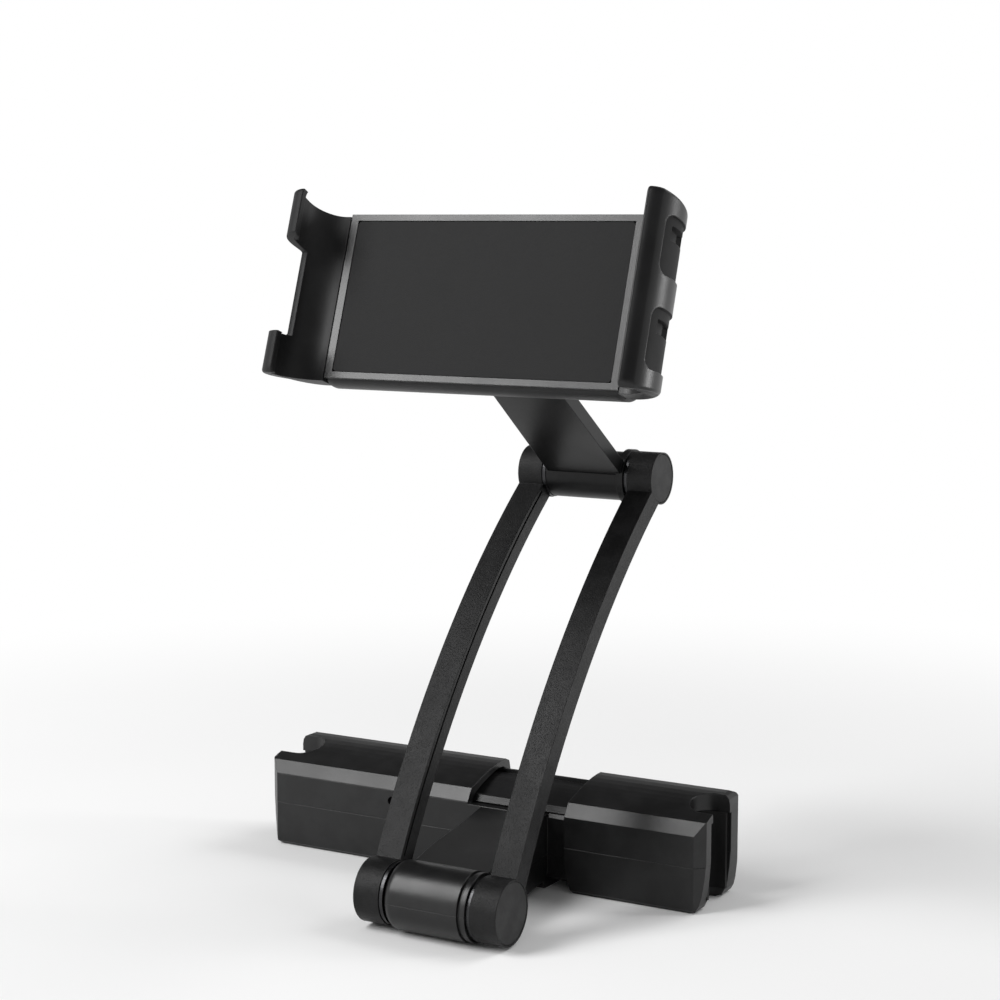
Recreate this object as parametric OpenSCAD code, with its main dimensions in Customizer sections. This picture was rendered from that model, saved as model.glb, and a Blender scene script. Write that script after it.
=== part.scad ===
// Headrest tablet mount: a telescopic base that wedges between two headrest posts,
// a pair of bowed arms, a folding neck with a ball head, and a sprung tablet cradle.
// Frame: +Z up, X along the posts' spacing, -Y towards the viewer of the tablet.
// The origin is on the underside of the base, at mid depth, in the middle plane of the hinges.

/* [Base] */
// Distance from the hinges' middle plane to the left end of the base
left_reach = 103; // [90:0.5:120]
// Distance from the hinges' middle plane to the right end of the base at rest
right_reach = 62.3; // [58:0.5:66]
// Distance from the hinges' middle plane to the inner end of the left cover
cover_end = 22.5; // [20:0.5:26]
// Distance from the hinges' middle plane to the inner end of the right housing
right_start = 13.5; // [12:0.5:15]
// Depth of the housings, front to back
base_depth = 29; // [28:0.5:34]
// Height of the housings at the crest of their arched top
base_h = 34.2; // [31:0.5:38]
// Height at which the front bevel starts
bevel_start = 25.2; // [24:0.2:26.4]
// Height of the front bevel
bevel_rise = 4.2; // [3:0.2:5]
// Depth of the front bevel
bevel_depth = 2.8; // [2:0.2:4]
// Wall thickness of the housings
wall = 2.2; // [1.8:0.1:2.6]
// Height of the parting line between the shells
split_z = 15; // [13:0.5:17]

/* [Post slots] */
// Width of the slot for a headrest post
slot_w = 13.4; // [12:0.2:14.6]
// Distance from the left end of the base to the centre of the left slot's round end
left_slot_in = 6; // [4:0.25:7]
// Distance from the right end of the base to the centre of the right slot's round end
right_slot_in = 3.8; // [3:0.2:6]
// Thickness of the rubber lining of the slots
pad_t = 1.2; // [0.8:0.1:1.6]
// Height of the bare rim above and below the lining
pad_rim = 3; // [2:0.5:5]

/* [Rail] */
// Running gap between the rail and what it slides in
rail_gap = 0.3; // [0.2:0.05:0.5]
// Length of the rail inside the left housing at rest
rail_in = 33; // [30:1:36]
// Depth of the keel under the rail, front to back
keel_w = 13; // [12:0.5:15]
// Bore of the keel, in which the expansion spring lies
keel_bore = 9.4; // [8.6:0.2:10]

/* [Hinges] */
// Length of both hinges over their outer faces
hinge_len = 50; // [48:1:56]
// Distance from the base's middle to the lower hinge, towards the viewer
hinge_out = 69.6; // [62:0.2:76]
// Radius of the lower hinge's centre tube, which also touches the surface it stands on
low_tube_r = 10.9; // [10.4:0.1:12]
// Radius of the arms' lower knuckles
low_knuckle_r = 10.1; // [9.5:0.1:10.4]
// Radius of the arms' upper knuckles
up_knuckle_r = 8.7; // [8.2:0.1:9.5]
// Radius of the upper hinge's centre tube
up_tube_r = 8.2; // [7.6:0.1:8.6]
// Radius of the hinge pins
pin_r = 2.5; // [2:0.1:3]
// Running clearance of the hinge pins, on the radius
pin_gap = 0.05; // [0.02:0.01:0.1]
// Thickness of a friction washer
washer_t = 1.2; // [0.8:0.1:1.4]
// Gap on each side of a friction washer
washer_gap = 0.1; // [0.05:0.05:0.2]

/* [Neck of the base] */
// Distance from the hinges' middle plane to the right side of the neck, at the base
neck_right = 6; // [4:0.5:9]
// Fall of the neck's top from the base to the hinge
neck_fall = 5.6; // [3:0.2:7]
// Flare of the neck's left side at the top
flare_top = 2.8; // [1:0.2:5]
// Flare of the neck's left side at the foot
flare_foot = 26; // [10:1:30]

/* [Arms] */
// Distance between the two hinge axes
arm_len = 157.8; // [140:0.2:175]
// Width of an arm, along the hinge axes
arm_w = 9; // [8:0.5:10]
// Thickness of an arm
arm_t = 6.8; // [6:0.2:8]
// Height of the arm's front face over the line between the hinge axes, at mid length
arm_bow = 11.4; // [9:0.2:13]
// Radius of the arm's bowed front face
arm_r = 330; // [280:5:420]
// Elevation of the arms at rest
arm_angle = 49.5; // [40:0.5:60]

/* [Neck plate] */
// Elevation of the neck plate at rest
neck_angle = 36; // [30:1:42]
// Width of the neck plate
neck_w = 28; // [26:0.5:28.4]
// Thickness of the neck plate
neck_t = 4.7; // [4:0.1:5.5]
// Distance from the upper hinge axis to the end of the neck plate
neck_len = 68; // [64:0.5:72]
// Rise of the ball stud's axis over the hinge axis
stud_rise = 9.6; // [8:0.2:11]

/* [Ball head] */
// Radius of the ball
ball_r = 8; // [7.5:0.1:8.5]
// Distance from the upper hinge axis to the ball, along the neck
ball_out = 81.3; // [79:0.2:86]
// Radius of the ball stud's stem
stem_r = 3.4; // [3:0.1:3.6]
// Thickness of the nylon liner round the ball
liner_t = 1.5; // [1.2:0.1:1.8]
// Clearance between the spherical faces of the ball head
ball_gap = 0.1; // [0.05:0.05:0.2]
// Outer radius of the lock nut
nut_r = 14; // [13:0.5:16]

/* [Cradle] */
// Backward lean of the cradle at rest
cradle_tilt = 19; // [10:1:25]
// Distance from the ball to the front face of the cradle
ball_back = 19; // [18:0.5:22]
// Width of the cradle's body
cradle_w = 102.6; // [98:0.2:112]
// Height of the cradle's body
cradle_h = 53.4; // [51:0.2:60]
// Thickness of the cradle's body
cradle_t = 12.8; // [12.4:0.2:14]
// Thickness of the front frame
frame_t = 4.6; // [4.2:0.1:5]
// Width of the rubber pad
face_pad_w = 97; // [90:0.5:97.6]
// Height of the rubber pad
face_pad_h = 49; // [44:0.5:49.4]
// Thickness of the rubber pad
face_pad_t = 1.4; // [1:0.1:1.8]

/* [Jaws] */
// Distance from the cradle's middle to a jaw's outer face, with the jaws closed
jaw_reach = 68; // [66:0.5:72]
// Height of the jaws
jaw_h = 60; // [58:0.5:66]
// Height of the hooks in front of the cradle's face
hook_d = 17.3; // [14:0.1:20]
// Thickness of the jaws' walls at their widest point
jaw_t = 5.7; // [5:0.1:6]
// Overhang of the hook's lip over the wall
lip_in = 1.9; // [1.5:0.1:2.6]
// Height of the jaw's wall at the cut-out between the hooks
cutout_d = 6; // [5:0.1:9]
// Radius of the jaws' outer curve
jaw_curve = 18.9; // [18:0.1:20]
// Height of the jaws' widest point over the cradle's face
jaw_mid = 3.5; // [2:0.1:5]
// Travel of each jaw
jaw_travel = 45; // [30:1:46]
// Thickness of the jaws' sliding tongues
tongue_t = 2.6; // [2.2:0.1:2.8]

/* [Hidden] */
$fn = 72;
eps = 0.01;
big = 400;

// Places of the hinge axes, the ball and the cradle
half_depth = base_depth / 2;
low_y = -hinge_out;
low_z = low_tube_r;
up_y = low_y + arm_len * cos(arm_angle);
up_z = low_z + arm_len * sin(arm_angle);
ball_y = up_y - ball_out * cos(neck_angle) + stud_rise * sin(neck_angle);
ball_z = up_z + ball_out * sin(neck_angle) + stud_rise * cos(neck_angle);

// Hinge stations along X
half_hinge = hinge_len / 2;
knuckle_in = half_hinge - arm_w;
washer_out = knuckle_in - washer_gap;
washer_in = washer_out - washer_t;
tube_half = washer_in - washer_gap;

// Extrudes a Y-Z outline from x0 to x1
module along_x(x0, x1) {
    translate([x0, 0, 0]) rotate([90, 0, 90]) linear_extrude(x1 - x0) children();
}

// A cylinder along X from x0 to x1
module rod_x(x0, x1, r) {
    translate([x0, 0, 0]) rotate([0, 90, 0]) cylinder(r = r, h = x1 - x0);
}

module at_low() {
    translate([0, low_y, low_z]) children();
}

module at_up() {
    translate([0, up_y, up_z]) children();
}

// Arm frame: Y runs from the lower to the upper hinge, Z points to the bowed side
module on_arm() {
    at_low() rotate([arm_angle, 0, 0]) children();
}

// Neck frame: Y runs from the upper hinge to the ball, Z points to the underside
module on_neck() {
    at_up() rotate([180 - neck_angle, 0, 0]) children();
}

// Cradle frame: X along its width, Y up its face, Z out of its face, origin in the face
module on_cradle() {
    translate([0, ball_y, ball_z]) rotate([90 - cradle_tilt, 0, 0]) translate([0, 0, ball_back]) children();
}

// Wire coil along X, from x0 to x1, with mean radius r and wire radius w
function coil_point(t, turns, x0, x1, r) =
    [x0 + (x1 - x0) * t, r * cos(360 * turns * t), r * sin(360 * turns * t)];

module coil(x0, x1, r, w, turns) {
    steps = ceil(turns * 9);
    sides = 5;
    rings = [for (i = [0:steps])
        let (t = i / steps, c = coil_point(t, turns, x0, x1, r), a = 360 * turns * t)
        [for (j = [0:sides - 1])
            let (b = 360 * j / sides)
            [c[0] + w * sin(b), c[1] + w * cos(b) * cos(a), c[2] + w * cos(b) * sin(a)]]];
    points = [for (ring = rings) for (p = ring) p];
    walls = [for (i = [0:steps - 1]) for (j = [0:sides - 1]) for (half = [0, 1])
        let (k = (j + 1) % sides)
        half == 0 ? [i * sides + j, i * sides + k, (i + 1) * sides + k]
            : [i * sides + j, (i + 1) * sides + k, (i + 1) * sides + j]];
    first = [for (j = [sides - 1:-1:0]) j];
    last = [for (j = [0:sides - 1]) steps * sides + j];
    polyhedron(points = points, faces = concat([first], walls, [last]), convexity = 10);
}

// Base: outlines

// Y-Z outline of a housing, drawn in by n all round: front bevel, arched top, soft lower edges
module housing_outline(n = 0) {
    arch_steps = 8;
    y0 = -half_depth + n;
    y1 = half_depth - n;
    foot = 1.2;
    slope = bevel_depth / bevel_rise;
    arch_y0 = y0 + bevel_depth;
    arch_z0 = bevel_start + bevel_rise - n;
    arch_y1 = y1 - 3;
    arch_z1 = base_h - n;
    arch = [for (i = [0:arch_steps])
        let (u = i / arch_steps)
        [arch_y0 + (arch_y1 - arch_y0) * u, arch_z0 + (arch_z1 - arch_z0) * sin(90 * u)]];
    polygon(concat(
        [[y0 + foot, n], [y0, n + foot], [y0, bevel_start - n * slope]],
        arch,
        [[y1 - 0.8, arch_z1 - 1], [y1, arch_z1 - 3.6], [y1, n + foot], [y1 - foot, n]]));
}

// X-Z outline of a housing's end at x = 0, pointing to +X: the foot is drawn in, the top corner is soft
module end_front_outline(len, foot) {
    polygon(concat(
        [[-len, -1], [foot[0][0], -1]],
        foot,
        [[0, base_h - 3.6], [-0.3, base_h - 1.8], [-1.2, base_h - 0.6], [-2.6, base_h], [-2.7, base_h + 1],
            [-len, base_h + 1]]));
}

// X-Y outline of a housing's end at x = 0, pointing to +X: bevelled front corner, rounded back corner
module end_plan_outline(len, front, back) {
    polygon([
        [-len, -half_depth - 1], [-front, -half_depth - 1], [-front, -half_depth], [0, -half_depth + front],
        [0, half_depth - back], [-0.3 * back, half_depth - 0.3 * back], [-back, half_depth],
        [-back, half_depth + 1], [-len, half_depth + 1]]);
}

// Everything outside a finished housing end is cut away; x = 0 is the end face, +X is outwards
module end_form(len, foot, front, back) {
    intersection() {
        rotate([90, 0, 0]) translate([0, 0, -base_depth]) linear_extrude(2 * base_depth)
            end_front_outline(len, foot);
        translate([0, 0, -1]) linear_extrude(base_h + 2) end_plan_outline(len, front, back);
    }
}

left_foot = [[-5.2, 0], [-3.9, 0.8], [-2.9, 2.2], [-2, 5], [-0.8, 10], [0, 16]];
right_foot = [[-4.6, 0], [-2.6, 0.7], [-1.7, 2.4], [-1.1, 5], [-0.45, 10], [0, 16]];

// Post slot at the origin end, open towards +X
module slot_cut(r, z0, z1) {
    translate([0, 0, z0]) cylinder(r = r, h = z1 - z0);
    translate([0, -r, z0]) cube([slot_run, 2 * r, z1 - z0]);
}

slot_r = slot_w / 2;
slot_run = max(left_slot_in, right_slot_in) + 6;
left_slot_x = -left_reach + left_slot_in;
right_slot_x = right_reach - right_slot_in;
slot_wall = slot_r + wall;

// Full left housing, before it is split
module left_form() {
    intersection() {
        along_x(-left_reach - 1, -cover_end) housing_outline();
        translate([-left_reach, 0, 0]) mirror([1, 0, 0]) end_form(left_reach, left_foot, 3.6, 2.4);
    }
}

// Hollow of the left housing, in which the rail runs
left_hollow_x = left_slot_x + slot_wall;
module left_hollow() {
    along_x(left_hollow_x, -cover_end + 1) housing_outline(wall);
}

module left_slot(grow = 0, z0 = -1, z1 = base_h + 1) {
    translate([left_slot_x, 0, 0]) mirror([1, 0, 0]) slot_cut(slot_r + grow, z0, z1);
}

// Right housing at rest
module right_form() {
    intersection() {
        along_x(right_start, right_reach + 1) housing_outline();
        translate([right_reach, 0, 0]) end_form(right_reach, right_foot, 3, 1.2);
        rotate([90, 0, 0]) translate([0, 0, -base_depth]) linear_extrude(2 * base_depth)
            polygon([[right_start + 3.2, -1], [right_start + 2.8, 0], [right_start + 0.6, 5.2], [right_start, 8],
                [right_start, base_h + 1], [right_reach + 2, base_h + 1], [right_reach + 2, -1]]);
    }
}

right_hollow_x = right_slot_x - slot_wall;
module right_hollow() {
    along_x(right_start - 1, right_hollow_x) housing_outline(wall);
}

module right_slot(grow = 0, z0 = -1, z1 = base_h + 1) {
    translate([right_slot_x, 0, 0]) slot_cut(slot_r + grow, z0, z1);
}

// Centre trough: carries the neck, and the rail slides on it
rail_n = wall + rail_gap;
trough_top = bevel_start - 0.6;
trough_x1 = right_start - 0.3;
keel_z = 15.5;
keel_bottom = keel_z - keel_w / 2;
keel_room = keel_w / 2 + rail_gap;

module trough_form() {
    intersection() {
        union() {
            along_x(-cover_end - 6, -cover_end + 1) housing_outline(wall - 0.4);
            along_x(-cover_end - eps, neck_right) housing_outline();
            along_x(neck_right - 1, trough_x1) housing_outline(rail_n + 0.2);
        }
        translate([-big / 2, -big / 2, -1]) cube([big, big, trough_top + 1]);
    }
}

module keel_room_cut(x0, x1) {
    translate([x0, -keel_room, keel_bottom - rail_gap]) cube([x1 - x0, 2 * keel_room, base_h]);
}

// Neck: sections in X-Z from inside the base to inside the tube, flared at the left foot
neck_steps = 14;
neck_rows = 6;
neck_y0 = -half_depth + wall / 2;

function neck_y(i) = neck_y0 + (low_y - neck_y0) * i / neck_steps;
function neck_t(y) = max(0, (-half_depth - y) / (hinge_out - half_depth));
function neck_top(t) = trough_top - 0.15 - neck_fall * pow(t, 1.3);
function neck_foot(t) = 0.7 + 1.9 * (1 - t);
function neck_side(t) = neck_right + (tube_half - neck_right) * pow(t, 1.3);
function neck_inset(t) = let (u = min(1, max(0, (t - 0.6) / 0.35))) 1.6 * u * u * (3 - 2 * u);
function neck_flare(t) = pow(max(0, 1 - t / 0.62), 2.6);
function neck_left(t, f) =
    -tube_half + neck_inset(t) - flare_top * pow(1 - t, 4) - (flare_foot - flare_top) * neck_flare(t) * pow(f, 1.2);

function neck_section(i) =
    let (y = neck_y(i), t = neck_t(y), top = neck_top(t), foot = neck_foot(t))
    concat(
        [for (k = [0:neck_rows])
            let (f = k / neck_rows)
            [neck_left(t, f), y, top - (top - foot) * f]],
        [[neck_side(t), y, foot], [neck_side(t), y, top]]);

module neck_form() {
    n = neck_rows + 3;
    points = [for (i = [0:neck_steps]) for (p = neck_section(i)) p];
    walls = [for (i = [0:neck_steps - 1]) for (j = [0:n - 1]) for (half = [0, 1])
        let (k = (j + 1) % n)
        half == 0 ? [i * n + j, (i + 1) * n + j, (i + 1) * n + k] : [i * n + j, (i + 1) * n + k, i * n + k]];
    first = [for (j = [0:n - 1]) j];
    last = [for (j = [n - 1:-1:0]) neck_steps * n + j];
    polyhedron(points = points, faces = concat([first], walls, [last]), convexity = 6);
}

tube_soft = 3.2;

// Lower centre tube, softly rounded at its left end
module low_tube() {
    at_low() rotate([0, 90, 0]) rotate_extrude() polygon(concat(
        [[0, -tube_half], [low_tube_r - tube_soft, -tube_half]],
        [for (a = [0:10:90])
            [low_tube_r - tube_soft + tube_soft * sin(a), -tube_half + tube_soft - tube_soft * cos(a)]],
        [[low_tube_r, tube_half - 2.6], [low_tube_r - 0.8, tube_half - 2.4], [low_tube_r - 0.8, tube_half - 1.8],
            [low_tube_r - 0.3, tube_half - 1.6], [low_tube_r - 0.3, tube_half], [0, tube_half]]));
}

module low_pin_bore() {
    at_low() rod_x(-half_hinge - 1, half_hinge + 1, pin_r + pin_gap);
}

// Space below the parting line: the left housing splits at split_z, the neck and tube at the hinge axis
module below_parting(gap = 0) {
    step_y = -half_depth - 0.7;
    translate([-left_reach - 5, step_y, -5]) cube([left_reach + 5 - cover_end, base_depth + 10, split_z + 5 - gap]);
    translate([-big / 2, step_y - big, -5]) cube([big, big + eps, low_z + 5 - gap]);
    translate([-cover_end - eps, step_y - 1, -5]) cube([big, big, low_z + 5 - gap]);
}

module left_slot_room() {
    left_slot();
    left_slot(pad_t, pad_rim, base_h - 2 * pad_rim);
}

button_x = -49;
button_z = 21.5;
button_len = 9;
button_h = 2.6;
button_sunk = 1.2;
button_gap = 0.25;

// Rounded button outline along X, in the X-Z plane, through the front wall
module button_form(grow, y0, y1) {
    r = button_h / 2 + grow;
    half = (button_len - button_h) / 2;
    translate([button_x, y1, button_z]) rotate([90, 0, 0]) {
        translate([-half, 0, 0]) cylinder(r = r, h = y1 - y0);
        translate([half, 0, 0]) cylinder(r = r, h = y1 - y0);
        translate([-half, -r, 0]) cube([2 * half, 2 * r, y1 - y0]);
    }
}

cover_z = bevel_start - 0.05;

base_screw_spots = [[-83, 9.9], [-83, -9.9], [-33, 9.9], [-33, -9.9]];
screw_r = 1.2;
screw_head_r = 2.2;
screw_head_t = 1.4;
post_r = 2.6;

module screw(len) {
    cylinder(r = screw_head_r, h = screw_head_t);
    cylinder(r = screw_r, h = len);
}

module screw_hole() {
    cylinder(r = screw_head_r + 0.1, h = screw_head_t + 0.15);
    cylinder(r = screw_r + 0.1, h = split_z + 1);
}

module screw_thread_hole() {
    cylinder(r = screw_r + 0.02, h = base_screw_len + 0.5);
}

// Posts for the screws, joined to the walls
module screw_posts(spots, z0, z1) {
    for (p = spots) {
        translate([p[0], p[1], z0]) cylinder(r = post_r, h = z1 - z0);
        translate([p[0] - 1, p[1] > 0 ? p[1] : -half_depth + 1, z0])
            cube([2, half_depth - 1 - abs(p[1]), z1 - z0]);
    }
}

base_screw_len = split_z + 6;

module base_body() {
    color("#2a2a2c") difference() {
        union() {
            difference() {
                left_form();
                translate([-big, -big / 2, cover_z]) cube([2 * big, big, base_h]);
                left_hollow();
            }
            trough_form();
            neck_form();
            low_tube();
            screw_posts(base_screw_spots, split_z, trough_top - 0.4);
        }
        below_parting();
        left_slot_room();
        keel_room_cut(-cover_end - 10, trough_x1 + 1);
        low_pin_bore();
        button_form(button_gap, -half_depth - 1, -half_depth + wall + 1);
        for (p = base_screw_spots) translate([p[0], p[1], 0]) screw_thread_hole();
    }
}

module base_bottom_shell() {
    color("#262628") difference() {
        intersection() {
            union() {
                difference() {
                    left_form();
                    left_hollow();
                }
                trough_form();
                neck_form();
                low_tube();
                screw_posts(base_screw_spots, 1, split_z);
            }
            below_parting(0.05);
        }
        left_slot_room();
        keel_room_cut(-cover_end - 10, trough_x1 + 1);
        low_pin_bore();
        for (p = base_screw_spots) translate([p[0], p[1], -eps]) screw_hole();
    }
}

module left_cover() {
    color("#303032") difference() {
        intersection() {
            left_form();
            translate([-big, -big / 2, cover_z + 0.05]) cube([2 * big, big, base_h]);
        }
        left_hollow();
        left_slot_room();
    }
}

module post_pad(reach) {
    difference() {
        slot_cut(slot_r + pad_t - 0.03, pad_rim + 0.05, base_h - 2 * pad_rim - 0.05);
        slot_cut(slot_r - 0.3, -1, base_h + 1);
        translate([reach, -half_depth, -1]) cube([slot_run, base_depth, base_h + 2]);
    }
}

module left_post_pad() {
    color("#161616") translate([left_slot_x, 0, 0]) mirror([1, 0, 0]) post_pad(left_slot_in - 2.4);
}

module right_post_pad() {
    color("#161616") translate([right_slot_x, 0, 0]) post_pad(right_slot_in - 1.2);
}

module lock_button() {
    color("#1c1c1e") {
        button_form(0, -half_depth + button_sunk, -half_depth + wall + 0.5);
        translate([button_x - button_len / 2 - 1.5, -half_depth + wall + 0.05, button_z - button_h / 2 - 1.4])
            cube([button_len + 3, 0.8, button_h + 1.8]);
    }
}

// Spring rod: fixed in the end wall of the left hollow, reaching into the keel's bore
rod_x1 = -cover_end - 2;
rod_r = keel_bore / 2 - 0.5;
spring_x1 = right_start + 24;

module guide_rod() {
    color("silver") translate([0, 0, keel_z]) rod_x(left_hollow_x, rod_x1, rod_r);
}

module expansion_spring() {
    color("silver") translate([0, 0, keel_z])
        coil(rod_x1 + 0.8, spring_x1 - 0.8, keel_bore / 2 - 1, 0.5, 12);
}

module base_screws() {
    color("dimgray") for (p = base_screw_spots) translate([p[0], p[1], 0.1]) screw(base_screw_len);
}

module lower_hinge_pin() {
    color("silver") at_low() rod_x(-half_hinge + 1.6, half_hinge - 1.6, pin_r);
}

module washer_pair(r) {
    for (s = [-1, 1]) difference() {
        rod_x(s > 0 ? washer_in : -washer_out, s > 0 ? washer_out : -washer_in, r);
        rod_x(-half_hinge, half_hinge, pin_r + pin_gap);
    }
}

module lower_washers() {
    color("#555558") at_low() washer_pair(low_knuckle_r - 0.3);
}

right_screw_spots = [[right_reach - 8.5, 10.6], [right_reach - 8.5, -10.6]];

module right_shell(upper) {
    difference() {
        right_form();
        right_hollow();
        right_slot();
        right_slot(pad_t, pad_rim, base_h - 2 * pad_rim);
        if (upper) {
            translate([-big, -big / 2, -1]) cube([2 * big, big, split_z + 1]);
            for (p = right_screw_spots) translate([p[0], p[1], 0]) screw_thread_hole();
        } else {
            translate([-big, -big / 2, split_z - 0.05]) cube([2 * big, big, base_h]);
            for (p = right_screw_spots) translate([p[0], p[1], -eps]) screw_hole();
        }
    }
}

module right_upper_shell() {
    color("#29292b") right_shell(true);
}

module right_lower_shell() {
    color("#232325") right_shell(false);
}

module right_screws() {
    color("dimgray") for (p = right_screw_spots) translate([p[0], p[1], 0.1]) screw(base_screw_len);
}

rail_x0 = -cover_end - rail_in;
shoe_x0 = right_start + 10;

rail_sunk = 1.2;

// Slide rail: an arched top with a sunk panel between its front lip and back ridge, on a bored keel
module slide_rail() {
    color("#242426") difference() {
        union() {
            intersection() {
                along_x(rail_x0, right_hollow_x - 0.2) housing_outline(rail_n);
                translate([-big / 2, -big / 2, bevel_start - 0.3]) cube([big, big, base_h]);
            }
            translate([rail_x0, -keel_w / 2, keel_bottom])
                cube([right_hollow_x - 0.02 - rail_x0, keel_w, bevel_start - keel_bottom]);
            along_x(shoe_x0, right_hollow_x - 0.02) housing_outline(wall + 0.02);
        }
        translate([0, 0, keel_z]) rod_x(rail_x0 - 1, spring_x1, keel_bore / 2);
        difference() {
            translate([rail_x0 - 1, -half_depth + rail_n + bevel_depth + 0.5, bevel_start])
                cube([shoe_x0 - rail_x0 - 1, base_depth - 2 * rail_n - bevel_depth - 4, base_h]);
            along_x(rail_x0 - 2, shoe_x0) housing_outline(rail_n + rail_sunk);
        }
    }
}

// Arms

cap_rim = 0.6;

module arm_bar(w0, w1) {
    intersection() {
        difference() {
            translate([0, arm_len / 2, arm_bow - arm_r]) rod_x(w0, w1, arm_r, $fn = 360);
            translate([0, arm_len / 2, arm_bow - arm_r]) rod_x(w0 - 1, w1 + 1, arm_r - arm_t, $fn = 360);
        }
        translate([w0 - 1, 0, -arm_len / 4]) cube([w1 - w0 + 2, arm_len, arm_len / 2]);
    }
}

// One arm on the +X side; the groove runs along the inner side, just under the front face
module arm_form() {
    on_arm() difference() {
        union() {
            arm_bar(knuckle_in, half_hinge);
            rod_x(knuckle_in, half_hinge, low_knuckle_r);
            translate([0, arm_len, 0]) rod_x(knuckle_in, half_hinge, up_knuckle_r);
        }
        intersection() {
            difference() {
                translate([0, arm_len / 2, arm_bow - arm_r])
                    rod_x(knuckle_in - 1, knuckle_in + 0.5, arm_r - 1.2, $fn = 360);
                translate([0, arm_len / 2, arm_bow - arm_r])
                    rod_x(knuckle_in - 2, knuckle_in + 1, arm_r - 2, $fn = 360);
            }
            translate([knuckle_in - 2, low_knuckle_r + 1, -arm_len / 4])
                cube([4, arm_len - low_knuckle_r - up_knuckle_r - 2, arm_len / 2]);
        }
        rod_x(knuckle_in - 1, half_hinge - 1.5, pin_r + 0.02);
        translate([0, arm_len, 0]) rod_x(knuckle_in - 1, half_hinge - 1.5, pin_r + 0.02);
        rod_x(half_hinge - 1.2, half_hinge + 1, low_knuckle_r - cap_rim);
        translate([0, arm_len, 0]) rod_x(half_hinge - 1.2, half_hinge + 1, up_knuckle_r - cap_rim);
    }
}

module arm_right() {
    color("#353537") arm_form();
}

module arm_left() {
    color("#353537") mirror([1, 0, 0]) arm_form();
}

module cap_pair(r) {
    for (s = [0, 1]) mirror([s, 0, 0]) difference() {
        rod_x(half_hinge - 1.15, half_hinge - 0.1, r);
    }
}

module lower_end_caps() {
    color("#2e2e30") at_low() cap_pair(low_knuckle_r - cap_rim - 0.15);
}

module upper_end_caps() {
    color("#2e2e30") at_up() cap_pair(up_knuckle_r - cap_rim - 0.15);
}

module upper_hinge_pin() {
    color("silver") at_up() rod_x(-half_hinge + 1.6, half_hinge - 1.6, pin_r);
}

module upper_washers() {
    color("#555558") at_up() washer_pair(up_knuckle_r - 0.3);
}

// Neck plate

stem_start = neck_len - 2.5;

// Plan of the neck plate: slightly narrower and rounded towards its end
module neck_plate_plan() {
    taper = 1.2;
    end_r = 9;
    w0 = neck_w / 2;
    w1 = neck_w / 2 - taper;
    polygon(concat(
        [[-w0, 0], [-w1, neck_len - end_r]],
        [for (a = [15:15:90]) [-w1 + end_r - end_r * cos(a), neck_len - end_r + end_r * sin(a)]],
        [for (a = [90:-15:15]) [w1 - end_r + end_r * cos(a), neck_len - end_r + end_r * sin(a)]],
        [[w1, neck_len - end_r], [w0, 0]]));
}

// Side outline of the swan-necked boss on the plate, in the neck frame
module boss_side() {
    steps = 10;
    z_top = -stud_rise - stem_r - 2.2;
    z_bottom = -stud_rise + stem_r + 2;
    s0 = neck_len - 30;
    s1 = neck_len - 12;
    rise = [for (i = [0:steps])
        let (u = i / steps)
        [s0 + (s1 - s0) * u, (z_top) * (0.5 - 0.5 * cos(180 * u))]];
    polygon(concat(rise, [[stem_start, z_top], [stem_start, z_bottom], [stem_start, 0.4], [s0, 0.4]]));
}

module neck_plate() {
    mid = 1.4;
    color("#2b2b2d") on_neck() difference() {
        union() {
            translate([0, 0, mid - neck_t / 2]) linear_extrude(neck_t) neck_plate_plan();
            rod_x(-tube_half, tube_half, up_tube_r);
            rod_x(tube_half - 2.4, tube_half, up_knuckle_r + 0.5);
            intersection() {
                along_x(-9, 9) boss_side();
                translate([0, 0, -big / 2]) linear_extrude(big) neck_plate_plan_long();
            }
        }
        rod_x(-half_hinge, half_hinge, pin_r + pin_gap);
        translate([0, stem_start - 12, -stud_rise]) rotate([-90, 0, 0]) cylinder(r = stem_r - 0.6, h = 20);
    }
}

module neck_plate_plan_long() {
    translate([-9, 0]) square([18, stem_start + 1]);
}

// Ball with its stem, whose spigot sits in the boss
module ball_stud() {
    color("gainsboro") on_neck() translate([0, 0, -stud_rise]) {
        translate([0, ball_out, 0]) sphere(r = ball_r);
        translate([0, stem_start + 0.02, 0]) rotate([-90, 0, 0]) cylinder(r = stem_r, h = ball_out - stem_start);
        translate([0, stem_start - 11.5, 0]) rotate([-90, 0, 0]) cylinder(r = stem_r - 0.62, h = 14);
    }
}

// Ball head, in the cradle frame shifted to the ball's centre

module at_ball() {
    translate([0, ball_y, ball_z]) rotate([90 - cradle_tilt, 0, 0]) children();
}

liner_r0 = ball_r + ball_gap;
liner_r1 = liner_r0 + liner_t;
cup_r0 = liner_r1 + ball_gap;
mouth_z = -2.6;
split_plane = 0.2;

module ball_liner() {
    color("white") at_ball() difference() {
        sphere(r = liner_r1);
        sphere(r = liner_r0);
        translate([0, 0, -big / 2 + mouth_z - 0.6]) cube([big, big, big], center = true);
        for (a = [0:90:270]) rotate([0, 0, a]) translate([-0.4, 0, -20]) cube([0.8, 20, 22]);
        translate([0, 0, ball_r - 2.5]) cylinder(r = 20, h = 20);
    }
}

nut_back = -6.5;
nut_front = 4.2;

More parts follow.
